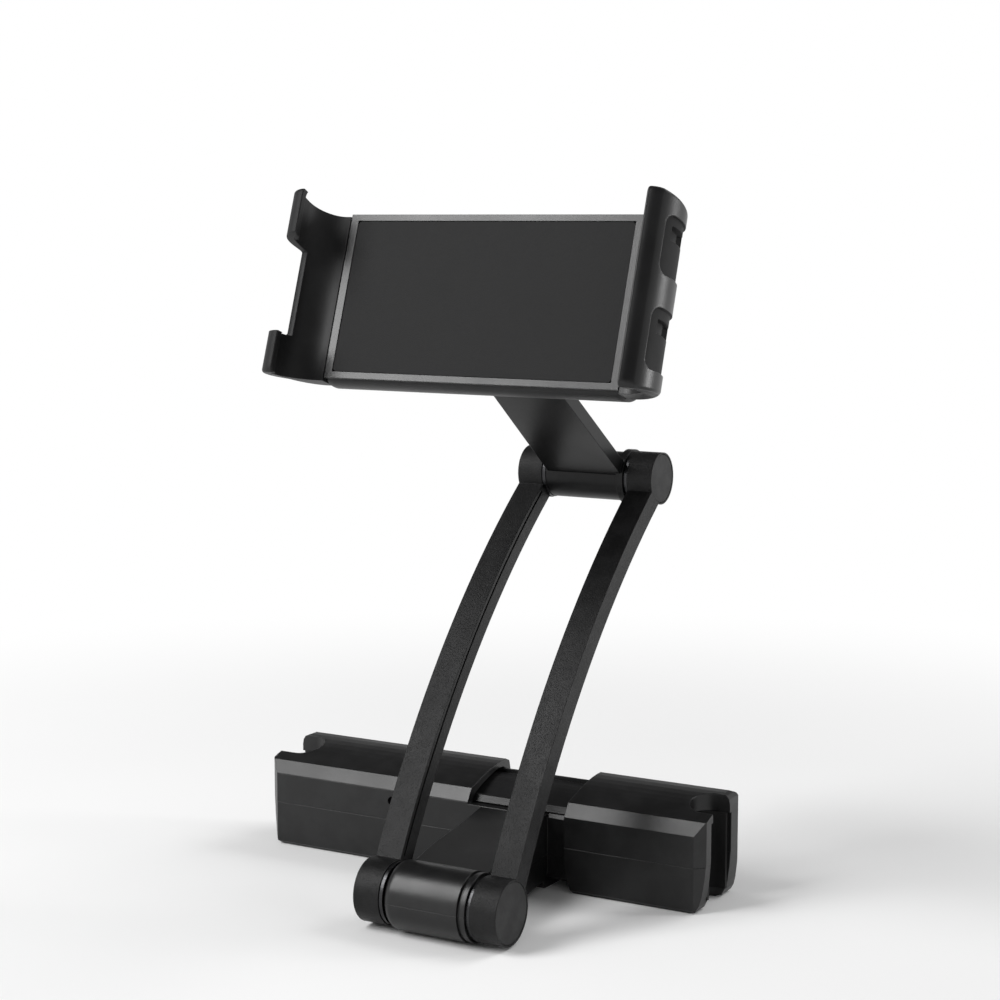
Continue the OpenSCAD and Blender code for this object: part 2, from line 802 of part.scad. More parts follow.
// Lock nut: finger grips all round, flared mouth, spherical seat
module lock_nut() {
    grips = 14;
    color("#1f1f21") at_ball() difference() {
        translate([0, 0, nut_back]) cylinder(r = nut_r, h = nut_front - nut_back);
        sphere(r = cup_r0);
        translate([0, 0, split_plane]) cylinder(r = nut_r - 2.2, h = 20);
        translate([0, 0, nut_back - 0.02]) cylinder(r1 = 10.6, r2 = 8.3, h = 3.6);
        translate([0, 0, nut_back]) cylinder(r = 8.3, h = 8);
        for (i = [0:grips - 1]) rotate([0, 0, 360 * i / grips]) translate([nut_r + 1.1, 0, nut_back - 1])
            cylinder(r = 2, h = nut_front - nut_back + 2, $fn = 24);
    }
}

socket_r = nut_r - 2.5;
socket_flange_z = ball_back - cradle_t;

// Socket: threaded cup for the nut, fixed to the cradle's back
module ball_socket() {
    color("#222224") at_ball() difference() {
        union() {
            translate([0, 0, split_plane + 0.2]) cylinder(r = socket_r, h = socket_flange_z + 2.4 - split_plane - 0.2);
            translate([0, 0, nut_front + 0.3]) cylinder(r = nut_r + 1.5, h = socket_flange_z - nut_front - 0.35);
        }
        sphere(r = cup_r0);
    }
}

// Cradle, in its own frame

half_cw = cradle_w / 2;
half_ch = cradle_h / 2;
tongue_z = -frame_t - 0.3 - tongue_t;

// X-Z outline of the cradle's body and jaws: the back curves up into the jaws' outer faces
curve_x = jaw_reach - jaw_curve;
curve_z = jaw_mid;
jaw_back = -cradle_t + 2.1;

module back_plan() {
    polygon([
        [-jaw_reach, 0], [-jaw_reach, jaw_back], [-half_cw + 2, jaw_back], [-36, -cradle_t],
        [36, -cradle_t], [half_cw - 2, jaw_back], [jaw_reach, jaw_back], [jaw_reach, 0]]);
}

// Extrudes an X-Z outline of the cradle frame from y0 to y1
module up_face(y0, y1) {
    translate([0, y1, 0]) rotate([90, 0, 0]) linear_extrude(y1 - y0) children();
}

// Extrudes a Y-Z outline of the cradle frame from x0 to x1
module across_face(x0, x1) {
    along_x(x0, x1) children();
}

module body_side() {
    r = 5;
    z0 = -cradle_t;
    polygon(concat(
        [[-half_ch, 1], [-half_ch, z0 + r]],
        [for (a = [0:15:90]) [-half_ch + r - r * cos(a), z0 + r - r * sin(a)]],
        [for (a = [90:-15:0]) [half_ch - r + r * cos(a), z0 + r - r * sin(a)]],
        [[half_ch, z0 + r], [half_ch, 1]]));
}

module body_form() {
    intersection() {
        up_face(-half_ch, half_ch) back_plan();
        across_face(-half_cw, half_cw) body_side();
    }
}

tongue_h = 17;
tongue_mid = 12;
spring_mid = 15.4;
spring_end = 35;

module tongue_room() {
    for (s = [-1, 1]) translate([-half_cw - 1, s * tongue_mid - tongue_h / 2 - 0.3, tongue_z - 0.3])
        cube([cradle_w + 2, tongue_h + 0.6, tongue_t + 0.6]);
}

cradle_screw_spots = [[-42, 22.2], [42, 22.2], [-42, -22.2], [42, -22.2]];

module cradle_back() {
    color("#29292b") on_cradle() difference() {
        intersection() {
            body_form();
            translate([-big / 2, -big / 2, -big]) cube([big, big, big - frame_t - 0.05]);
        }
        tongue_room();
        for (s = [-1, 1]) translate([-spring_end - 0.5, s * spring_mid - 2.2, tongue_z - 4.3])
            cube([2 * spring_end + 1, 4.4, 5]);
        translate([0, 0, -cradle_t - 1]) cylinder(r = socket_r + 0.1, h = 3.45);
        for (p = cradle_screw_spots) translate([p[0], p[1], -cradle_t - 1]) {
            cylinder(r = screw_head_r + 0.1, h = 3.2);
            cylinder(r = screw_r + 0.02, h = 12);
        }
    }
}

module cradle_frame() {
    bevel = 0.6;
    groove = 0.4;
    color("#2f2f31") on_cradle() difference() {
        intersection() {
            body_form();
            translate([-big / 2, -big / 2, -frame_t]) cube([big, big, frame_t]);
        }
        translate([-face_pad_w / 2 - 0.1, -face_pad_h / 2 - 0.1, -face_pad_t])
            cube([face_pad_w + 0.2, face_pad_h + 0.2, 5]);
        for (s = [-1, 1]) translate([-big / 2, s * half_ch, 0]) rotate([45, 0, 0])
            cube([big, bevel, bevel], center = false);
        for (s = [-1, 1]) translate([-big / 2, s * half_ch - groove, -1.3]) cube([big, 2 * groove, groove]);
        for (p = cradle_screw_spots) translate([p[0], p[1], -frame_t - 1]) cylinder(r = screw_r - 0.1, h = 3);
    }
}

module cradle_pad() {
    r = 1.2;
    color("#3a3a3c") on_cradle() translate([0, 0, -face_pad_t + 0.02]) linear_extrude(face_pad_t - 0.22)
        polygon([for (q = [[1, 1, 0], [-1, 1, 90], [-1, -1, 180], [1, -1, 270]]) for (a = [0:30:90])
            [q[0] * (face_pad_w / 2 - r) + r * cos(q[2] + a), q[1] * (face_pad_h / 2 - r) + r * sin(q[2] + a)]]);
}

module cradle_screws() {
    color("dimgray") on_cradle() for (p = cradle_screw_spots) translate([p[0], p[1], -cradle_t + 0.6]) {
        cylinder(r = screw_head_r, h = screw_head_t);
        cylinder(r = screw_r - 0.12, h = cradle_t - frame_t + 0.6);
    }
}

// Jaws, made on the +X side

jaw_x0 = half_cw + 0.3;
half_jaw = jaw_h / 2;
jaw_inner_r = 9.4;

jaw_wall_x = jaw_reach - jaw_t;
fillet_x = jaw_wall_x - jaw_inner_r;

// X-Z outline of a jaw: one round outer face, a round inner corner and a lip at the front
module jaw_plan() {
    lip_x = jaw_wall_x - lip_in;
    difference() {
        intersection() {
            translate([curve_x, curve_z]) circle(r = jaw_curve);
            translate([jaw_x0, jaw_back]) square([jaw_curve, hook_d - jaw_back]);
        }
        translate([fillet_x, jaw_inner_r]) circle(r = jaw_inner_r);
        polygon([
            [jaw_x0 - 1, 0], [fillet_x, 0], [fillet_x, jaw_inner_r], [jaw_wall_x, jaw_inner_r],
            [jaw_wall_x, hook_d - 3.2], [lip_x, hook_d - 2], [lip_x, hook_d - 0.5], [lip_x + 0.5, hook_d],
            [lip_x + 0.5, hook_d + 1], [jaw_x0 - 1, hook_d + 1]]);
    }
}

// X-Y outline of a jaw: taller than the body, with round ends
module jaw_face() {
    corner = 6;
    flare = 6;
    steps = 6;
    edge = [for (i = [0:steps])
        let (u = i / steps)
        [jaw_x0 - 0.1 + flare * u, half_ch + (half_jaw - half_ch) * (0.5 - 0.5 * cos(180 * u))]];
    upper = concat(edge, [[jaw_reach + 1, half_jaw]]);
    intersection() {
        polygon(concat(upper, [for (i = [len(upper) - 1:-1:0]) [upper[i][0], -upper[i][1]]]));
        union() {
            translate([0, -half_jaw]) square([jaw_reach - corner, jaw_h]);
            translate([0, -half_jaw + corner]) square([jaw_reach + 1, jaw_h - 2 * corner]);
            for (s = [-1, 1]) translate([jaw_reach - corner, s * (half_jaw - corner)]) circle(r = corner);
        }
    }
}

module jaw_form() {
    intersection() {
        up_face(-half_jaw, half_jaw) jaw_plan();
        translate([0, 0, -big / 4]) linear_extrude(big / 2) jaw_face();
    }
}

grip_spans = [[5.5, 21.5], [-20.5, -5]];
grip_back = -6.5;
grip_front = 12.4;
short_grip_front = cutout_d - 2.5;
grip_t = 2;
grip_sunk = 0.9;

// Shell of a jaw's round outer face between two depths
module outer_shell(from, to) {
    up_face(-half_jaw, half_jaw) difference() {
        translate([curve_x, curve_z]) circle(r = jaw_curve - from);
        translate([curve_x, curve_z]) circle(r = jaw_curve - to);
    }
}

// Windows of the two finger grips, with round corners, up to the height front and shrunk by n
module grip_windows(front, n) {
    r = 2.8 - n;
    run = front - grip_back - 2 * n;
    for (g = grip_spans) across_face(jaw_x0 + 3, jaw_reach + 2) {
        translate([g[0] + n, grip_back + n + r]) square([g[1] - g[0] - 2 * n, run - 2 * r]);
        translate([g[0] + n + r, grip_back + n]) square([g[1] - g[0] - 2 * n - 2 * r, run]);
        for (y = [g[0] + n + r, g[1] - n - r]) for (z = [grip_back + n + r, front - n - r])
            translate([y, z]) circle(r = r);
    }
}

module grip_room(front) {
    intersection() {
        outer_shell(-1, grip_t);
        grip_windows(front, 0);
    }
}

module jaw_grips(front) {
    intersection() {
        outer_shell(grip_sunk, grip_t - 0.02);
        grip_windows(front, 0.15);
    }
}

// Cut-out between the hooks, with S-curved shoulders
module hook_cutout() {
    low = -9.5;
    high = 8.5;
    shoulder = 7;
    steps = 10;
    rise = [for (i = [0:steps])
        let (u = i / steps)
        [shoulder * (0.5 - 0.5 * cos(180 * u)), cutout_d + (hook_d + 1 - cutout_d) * u]];
    across_face(jaw_x0 + 5, jaw_reach + 2) polygon(concat(
        [for (p = rise) [high + p[0], p[1]]],
        [for (i = [steps:-1:0]) [low - rise[i][0], rise[i][1]]]));
}

tongue_lock = 3.6;
tongue_end = -36;

// Socket in the jaw for its tongue, at height s
module tongue_socket(s) {
    translate([jaw_x0 - 1, s * tongue_mid - tongue_h / 2 - 0.02, tongue_z - 0.02])
        cube([tongue_lock + 1, tongue_h + 0.04, tongue_t + 0.04]);
}

// Sliding tongue of a jaw, with a hook for its spring
module tongue(s) {
    translate([tongue_end, s * tongue_mid - tongue_h / 2, tongue_z])
        cube([jaw_x0 + tongue_lock - tongue_end, tongue_h, tongue_t]);
    translate([tongue_end + 3.2, s * spring_mid, tongue_z - 3.6]) cylinder(r = 1.4, h = 3.7);
}

module jaw_spring(s) {
    translate([0, s * spring_mid, tongue_z - 2.2]) coil(tongue_end + 5, spring_end, 1.4, 0.35, 16);
}

module right_jaw() {
    color("#2c2c2e") on_cradle() difference() {
        jaw_form();
        grip_room(grip_front);
        tongue_socket(-1);
    }
}

module right_tongue() {
    color("#39393b") on_cradle() tongue(-1);
}

module right_grips() {
    color("#161616") on_cradle() jaw_grips(grip_front);
}

module right_spring() {
    color("silver") on_cradle() jaw_spring(-1);
}

module left_jaw() {
    color("#2c2c2e") on_cradle() mirror([1, 0, 0]) difference() {
        jaw_form();
        grip_room(short_grip_front);
        tongue_socket(1);
        hook_cutout();
    }
}

module left_tongue() {
    color("#39393b") on_cradle() mirror([1, 0, 0]) tongue(1);
}

module left_grips() {
    color("#161616") on_cradle() mirror([1, 0, 0]) jaw_grips(short_grip_front);
}

module left_spring() {
    color("silver") on_cradle() mirror([1, 0, 0]) jaw_spring(1);
}

base_body();
base_bottom_shell();
left_cover();
left_post_pad();
lock_button();
guide_rod();
expansion_spring();
base_screws();
lower_hinge_pin();
lower_washers();
right_upper_shell();
right_lower_shell();
slide_rail();
right_post_pad();
right_screws();
arm_left();
arm_right();
lower_end_caps();
upper_end_caps();
upper_hinge_pin();
upper_washers();
neck_plate();
ball_stud();
ball_liner();
lock_nut();
ball_socket();
cradle_back();
cradle_frame();
cradle_pad();
cradle_screws();
left_jaw();
left_tongue();
left_grips();
left_spring();
right_jaw();
right_tongue();
right_grips();
right_spring();
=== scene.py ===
import math

import bmesh
import bpy
import numpy as np
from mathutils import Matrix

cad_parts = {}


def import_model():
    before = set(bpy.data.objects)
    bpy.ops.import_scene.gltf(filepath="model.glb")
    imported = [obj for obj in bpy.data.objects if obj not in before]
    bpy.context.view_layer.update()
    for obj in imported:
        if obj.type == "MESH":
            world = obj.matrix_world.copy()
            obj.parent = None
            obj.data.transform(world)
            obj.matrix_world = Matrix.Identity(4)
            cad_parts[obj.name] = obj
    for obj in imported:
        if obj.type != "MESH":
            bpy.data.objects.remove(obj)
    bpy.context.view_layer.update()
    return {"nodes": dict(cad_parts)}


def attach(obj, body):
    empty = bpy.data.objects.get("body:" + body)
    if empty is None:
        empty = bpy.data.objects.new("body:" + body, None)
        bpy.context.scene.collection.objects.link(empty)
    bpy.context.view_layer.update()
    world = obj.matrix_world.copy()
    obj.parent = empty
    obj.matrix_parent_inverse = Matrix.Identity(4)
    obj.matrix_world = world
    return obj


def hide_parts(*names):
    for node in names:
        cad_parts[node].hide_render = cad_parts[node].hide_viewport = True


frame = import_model()


# Shader graphs: V wraps a socket, so that shader maths reads as plain sums

class V:
    """A socket with the operators of shader maths; each one adds a Math node."""

    def __init__(self, graph, socket):
        self.graph = graph
        self.socket = socket

    def _op(self, kind, *others):
        return self.graph.math(kind, self, *others)

    def __add__(self, other):
        return self._op("ADD", other)

    __radd__ = __add__

    def __sub__(self, other):
        return self._op("SUBTRACT", other)

    def __rsub__(self, other):
        return self.graph.math("SUBTRACT", other, self)

    def __mul__(self, other):
        return self._op("MULTIPLY", other)

    __rmul__ = __mul__

    def __pow__(self, other):
        return self._op("POWER", other)

    def max(self, other):
        return self._op("MAXIMUM", other)


class Graph:
    """One material's node tree."""

    def __init__(self, name):
        self.material = bpy.data.materials.new(name)
        self.material.use_nodes = True
        self.tree = self.material.node_tree
        self.tree.nodes.clear()

    def node(self, kind, settings=None, **inputs):
        """Adds a node. Inputs are values or sockets, named as the node names them with _ for spaces."""
        n = self.tree.nodes.new(kind)
        for key, value in (settings or {}).items():
            setattr(n, key, value)
        for key, value in inputs.items():
            name = int(key[1:]) if key[0] == "i" and key[1:].isdigit() else key.replace("_", " ")
            target = n.inputs[name]
            if isinstance(value, V):
                self.tree.links.new(value.socket, target)
            elif isinstance(value, (tuple, list)) and len(value) == 3 and target.type == "RGBA":
                target.default_value = (*value, 1.0)
            else:
                target.default_value = value
        return n

    def out(self, n, name=0):
        return V(self, n.outputs[name])

    def math(self, kind, *values):
        args = {f"i{k}": v for k, v in enumerate(values)}
        return self.out(self.node("ShaderNodeMath", {"operation": kind}, **args))

    def place(self):
        return self.out(self.node("ShaderNodeTexCoord"), "Object")

    def xyz(self):
        n = self.node("ShaderNodeSeparateXYZ", None, Vector=self.place())
        return self.out(n, 0), self.out(n, 1), self.out(n, 2)

    def noise(self, scale, detail=3.0, rough=0.55, vector=None):
        n = self.node("ShaderNodeTexNoise", None, Vector=vector or self.place(), Scale=scale,
                      Detail=detail, Roughness=rough)
        return self.out(n, 0)

    def cells(self, scale):
        n = self.node("ShaderNodeTexVoronoi", {"feature": "F1"}, Vector=self.place(), Scale=scale)
        return self.out(n, "Distance")

    def stretched(self, x, y, z, turn=(0.0, 0.0, 0.0)):
        n = self.node("ShaderNodeMapping", None, Vector=self.place(), Rotation=turn, Scale=(x, y, z))
        return self.out(n)

    def ramp(self, value, low, high, to_low=0.0, to_high=1.0):
        n = self.node("ShaderNodeMapRange", {"interpolation_type": "SMOOTHSTEP"}, Value=value,
                      From_Min=low, From_Max=high, To_Min=to_low, To_Max=to_high)
        return self.out(n)

    def mix(self, factor, a, b):
        n = self.tree.nodes.new("ShaderNodeMix")
        n.data_type = "RGBA"
        for sock, value in ((n.inputs[0], factor), (n.inputs[6], a), (n.inputs[7], b)):
            if isinstance(value, V):
                self.tree.links.new(value.socket, sock)
            elif sock.type == "RGBA":
                sock.default_value = (*value, 1.0)
            else:
                sock.default_value = value
        return V(self, n.outputs[2])

    def bump(self, height, distance, strength=1.0, normal=None):
        args = {"Height": height, "Distance": distance, "Strength": strength}
        if normal is not None:
            args["Normal"] = normal
        return self.out(self.node("ShaderNodeBump", None, **args))

    def soft_edges(self, radius):
        return self.out(self.node("ShaderNodeBevel", {"samples": 6}, Radius=radius))

    def surface(self, shader):
        output = self.tree.nodes.new("ShaderNodeOutputMaterial")
        self.tree.links.new(shader.outputs[0], output.inputs[0])
        return self.material

    def principled(self, **inputs):
        return self.surface(self.node("ShaderNodeBsdfPrincipled", None, **inputs))


EDGE_RADIUS = 0.0003


def moulded(name, colour, rough, grain=0.00002, spark=0.0, spark_scale=2600.0, wear_and_highlight_amount=0.25, shine=0.3):
    """Moulded plastic: slow colour and gloss drift, spark texture, fine scratches, lighter pointy edges that are
    partly rubbed wear and partly a painted highlight.
    """
    g = Graph(name)
    drift = g.noise(28.0, 2.0)
    cloud = g.noise(160.0, 4.0, 0.6)
    fine = g.noise(9000.0, 3.0, 0.6)
    specks = g.ramp(g.cells(spark_scale), 0.05, 0.55)
    scratch_a = g.ramp(g.noise(90.0, 5.0, 0.7, g.stretched(1.0, 22.0, 9.0, (0.3, 0.2, 0.5))), 0.62, 0.75)
    scratch_b = g.ramp(g.noise(70.0, 5.0, 0.7, g.stretched(20.0, 1.0, 8.0, (0.1, 0.7, 0.2))), 0.64, 0.78)
    scratch = scratch_a.max(scratch_b)
    dark = tuple(c * 0.86 for c in colour)
    light = tuple(min(1.0, c * 1.22 + 0.001) for c in colour)
    base = g.mix(g.ramp(drift * 0.5 + cloud * 0.5, 0.35, 0.65), dark, light)
    geometry = g.node("ShaderNodeNewGeometry")
    pointy = g.out(geometry, "Pointiness")
    # pointy edges lightened in patches: partly rubbed wear, partly a painted highlight along the rims
    wear_and_highlight = g.ramp(pointy, 0.51, 0.58) * wear_and_highlight_amount * g.ramp(cloud, 0.4, 0.62)
    base = g.mix(wear_and_highlight, base, tuple(min(1.0, c * 2.2 + 0.008) for c in colour))
    roughness = g.ramp(drift, 0.3, 0.7, rough - 0.05, rough + 0.05) + scratch * 0.06 + (fine - 0.5) * 0.08
    height = fine + specks * spark - scratch * 0.35
    normal = g.bump(height, grain, 1.0, g.soft_edges(EDGE_RADIUS))
    return g.principled(Base_Color=base, Roughness=roughness, Normal=normal, IOR=1.5, Specular_IOR_Level=shine)


def rubber(name, colour, rough=0.72):
    """Matt rubber: pebbled skin with faint dust."""
    g = Graph(name)
    pebble = g.cells(3800.0)
    fine = g.noise(9500.0, 2.0)
    dust = g.ramp(g.noise(60.0, 5.0, 0.65), 0.45, 0.75)
    dark = tuple(c * 0.88 for c in colour)
    light = tuple(min(1.0, c * 1.3 + 0.003) for c in colour)
    base = g.mix(dust * 0.25 + g.ramp(fine, 0.35, 0.7) * 0.3, dark, light)
    roughness = g.ramp(dust, 0.0, 1.0, rough, min(1.0, rough + 0.04))
    normal = g.bump(g.ramp(pebble, 0.0, 0.6) + fine * 0.4, 0.00003, 1.0, g.soft_edges(EDGE_RADIUS))
    return g.principled(Base_Color=base, Roughness=roughness, Normal=normal, IOR=1.5, Specular_IOR_Level=0.24)


def metal(name, colour, rough):
    """Turned or drawn steel: fine tool lines, gloss drift, a few stains."""
    g = Graph(name)
    lines = g.noise(1.0, 3.0, 0.6, g.stretched(60.0, 3000.0, 3000.0))
    stain = g.ramp(g.noise(220.0, 4.0), 0.45, 0.75)
    base = g.mix(stain * 0.5, colour, tuple(c * 0.72 for c in colour))
    roughness = g.ramp(lines, 0.3, 0.7, rough - 0.07, rough + 0.09) + stain * 0.08
    normal = g.bump(lines, 0.000006, 1.0, g.soft_edges(0.0002))
    return g.principled(Base_Color=base, Metallic=1.0, Roughness=roughness, Normal=normal)


def nylon(name):
    """White nylon: slow cloud in colour and gloss, fine skin."""
    g = Graph(name)
    cloud = g.noise(120.0, 3.0)
    fine = g.noise(5000.0, 2.0)
    base = g.mix(g.ramp(cloud, 0.3, 0.7), (0.74, 0.73, 0.68), (0.83, 0.82, 0.78))
    return g.principled(Base_Color=base, Roughness=g.ramp(cloud, 0.3, 0.7, 0.38, 0.5),
                        Normal=g.bump(fine, 0.00001, 1.0, g.soft_edges(0.0002)))


housing = moulded("housing_black", (0.0038, 0.0038, 0.004), 0.34, grain=0.000012, spark=0.4, shine=0.45)
housing_right = moulded("housing_right_black", (0.0032, 0.0032, 0.0034), 0.34, grain=0.000012, spark=0.4, shine=0.42)
arm_black = moulded("arm_spark_black", (0.0055, 0.0055, 0.0057), 0.46, grain=0.00004, spark=1.2, spark_scale=1900.0,
                    shine=0.22)
barrel_black = moulded("neck_black", (0.0032, 0.0032, 0.0034), 0.34, grain=0.00001, spark=0.3, shine=0.24)
cradle_black = moulded("cradle_black", (0.009, 0.009, 0.0093), 0.45, grain=0.000015, spark=0.5)
jaw_black = moulded("jaw_black", (0.005, 0.005, 0.0053), 0.34, grain=0.000008, spark=0.2, shine=0.4, wear_and_highlight_amount=0.1)
hook_black = moulded("hook_black", (0.008, 0.008, 0.0083), 0.5, grain=0.000008, spark=0.2, shine=0.25)
grip_black = moulded("grip_black", (0.007, 0.007, 0.0073), 0.62, grain=0.000012, spark=0.6, shine=0.2, wear_and_highlight_amount=0.0)
bezel_black = moulded("bezel_black", (0.012, 0.012, 0.0123), 0.3, grain=0.000008, spark=0.2, shine=0.5)
cap_black = moulded("cap_black", (0.015, 0.015, 0.0153), 0.6, grain=0.00002, spark=0.8)
rail_black = moulded("rail_black", (0.008, 0.008, 0.0083), 0.4, grain=0.00001, spark=0.3)
trim_black = moulded("trim_black", (0.005, 0.005, 0.0053), 0.5, grain=0.00002, spark=0.6)
pad_grey = rubber("pad_rubber", (0.016, 0.016, 0.0164))
soft_black = rubber("soft_black", (0.006, 0.006, 0.006), 0.66)
steel = metal("steel", (0.55, 0.55, 0.56), 0.32)
washer = metal("washer_steel", (0.05, 0.05, 0.052), 0.3)
white_nylon = nylon("nylon")

LOOKS = {
    "base_body": housing, "base_bottom_shell": housing, "left_cover": housing,
    "right_upper_shell": housing_right, "right_lower_shell": housing_right,
    "slide_rail": rail_black, "left_post_pad": soft_black, "right_post_pad": soft_black,
    "lock_button": trim_black, "guide_rod": steel, "expansion_spring": steel,
    "base_screws": steel, "right_screws": steel, "lower_hinge_pin": steel, "upper_hinge_pin": steel,
    "lower_washers": washer, "upper_washers": washer, "arm_left": arm_black, "arm_right": arm_black,
    "lower_end_caps": cap_black, "upper_end_caps": cap_black, "neck_plate": barrel_black,
    "ball_stud": steel, "ball_liner": white_nylon, "lock_nut": trim_black, "ball_socket": trim_black,
    "cradle_back": cradle_black, "cradle_frame": bezel_black, "cradle_pad": pad_grey,
    "cradle_screws": steel, "left_jaw": jaw_black, "right_jaw": jaw_black,
    "left_tongue": rail_black, "right_tongue": rail_black, "left_grips": soft_black,
    "right_grips": soft_black, "left_spring": steel, "right_spring": steel,
}
for name, node in frame["nodes"].items():
    node.data.materials.clear()
    node.data.materials.append(LOOKS[name])


# Shaped pieces: numpy grid surfaces in the cradle's own frame (mm), set into the row frame

TILT = math.radians(19.0)
UP = np.array([0.0, math.sin(TILT), math.cos(TILT)])
OUT = np.array([0.0, -math.cos(TILT), math.sin(TILT)])
FACE = np.array([0.0, -45.2123, 192.6314])


def in_cradle(x, h, d):
    """Point of the row frame, in metres, for x along the cradle, h up its face and d out of its face, in mm."""
    p = FACE + h[..., None] * UP + d[..., None] * OUT
    p[..., 0] = x
    return p / 1000.0


def smooth(v):
    """Smooth step from 0 to 1, 3 v^2 - 2 v^3."""
    v = np.clip(v, 0.0, 1.0)
    return v * v * (3.0 - 2.0 * v)


def bar_piece(name, points, material, angle=32.0, inset=None, inset_material=None):
    """Closed bar from points[row][column]: each row is a loop of an inner run and, back to front, an outer run.

    The side is the grid of neighbouring rows, and each end is a ladder of quads between the two runs.
    """
    rows, loop = points.shape[:2]
    half = loop // 2
    index = np.arange(rows * loop).reshape(rows, loop)
    a = index[:-1]
    b = index[1:]
    side = np.stack([a, np.roll(a, -1, 1), np.roll(b, -1, 1), b], -1).reshape(-1, 4)
    i = np.arange(half - 1)
    ladder = np.stack([i, i + 1, loop - 2 - i, loop - 1 - i], -1)
    faces = np.concatenate([side, ladder[:, ::-1], ladder + (rows - 1) * loop])
    mesh = bpy.data.meshes.new(name)
    mesh.from_pydata(points.reshape(-1, 3).tolist(), [], faces.tolist())
    work = bmesh.new()
    work.from_mesh(mesh)
    bmesh.ops.recalc_face_normals(work, faces=work.faces)
    work.to_mesh(mesh)
    work.free()
    mesh.shade_smooth()
    mesh.set_sharp_from_angle(angle=math.radians(angle))
    mesh.materials.append(material)
    if inset is not None:
        mesh.materials.append(inset_material)
        slots = np.zeros(len(faces), int)
        slots[:len(side)] = inset[:-1, :].reshape(-1)
        mesh.polygons.foreach_set("material_index", slots)
    obj = bpy.data.objects.new(name, mesh)
    bpy.context.scene.collection.objects.link(obj)
    return obj


SEAM = 51.6
FILLET_X, FILLET_R = 52.9, 9.4
ARC_X, ARC_D, ARC_R = 52.8, 6.9, 13.95
HOOK_D, JAW_HALF = 17.3, 29.9
ARC_START = -1.74
LIP_WIDTH, LIP_HEIGHT = 3.0, 3.6
CUT_FLOOR, CUT_THINNING = 6.0, 3.0
POCKETS = ((4.9, 22.6), (-23.0, -4.9))
POCKET_DEPTH, POCKET_CORNER, HOLE_DEPTH, STEP_WIDTH = 0.65, 3.0, 1.7, 0.35
END_SLOPE_TOP, END_SLOPE_BOTTOM = 4.0, 2.2


def jaw_top(h, cut):
    """Height of the jaw's rim: the hooks' height, lowered between them where the jaw has a cut-out.

    HOOK_D - 1.4 (1 - sqrt(1 - 0.96 e^2)) near the ends, and CUT_FLOOR between the S-shaped shoulders.
    """
    e = np.clip((np.abs(h) - (JAW_HALF - 2.6)) / 2.6, 0.0, 1.0)
    top = HOOK_D - 1.4 * (1.0 - np.sqrt(1.0 - e * e * 0.96))
    if cut:
        rise = np.maximum(smooth((h - 11.9) / 3.6), smooth((-15.2 - h) / 1.4))
        top = CUT_FLOOR + (top - CUT_FLOOR) * rise
    return top


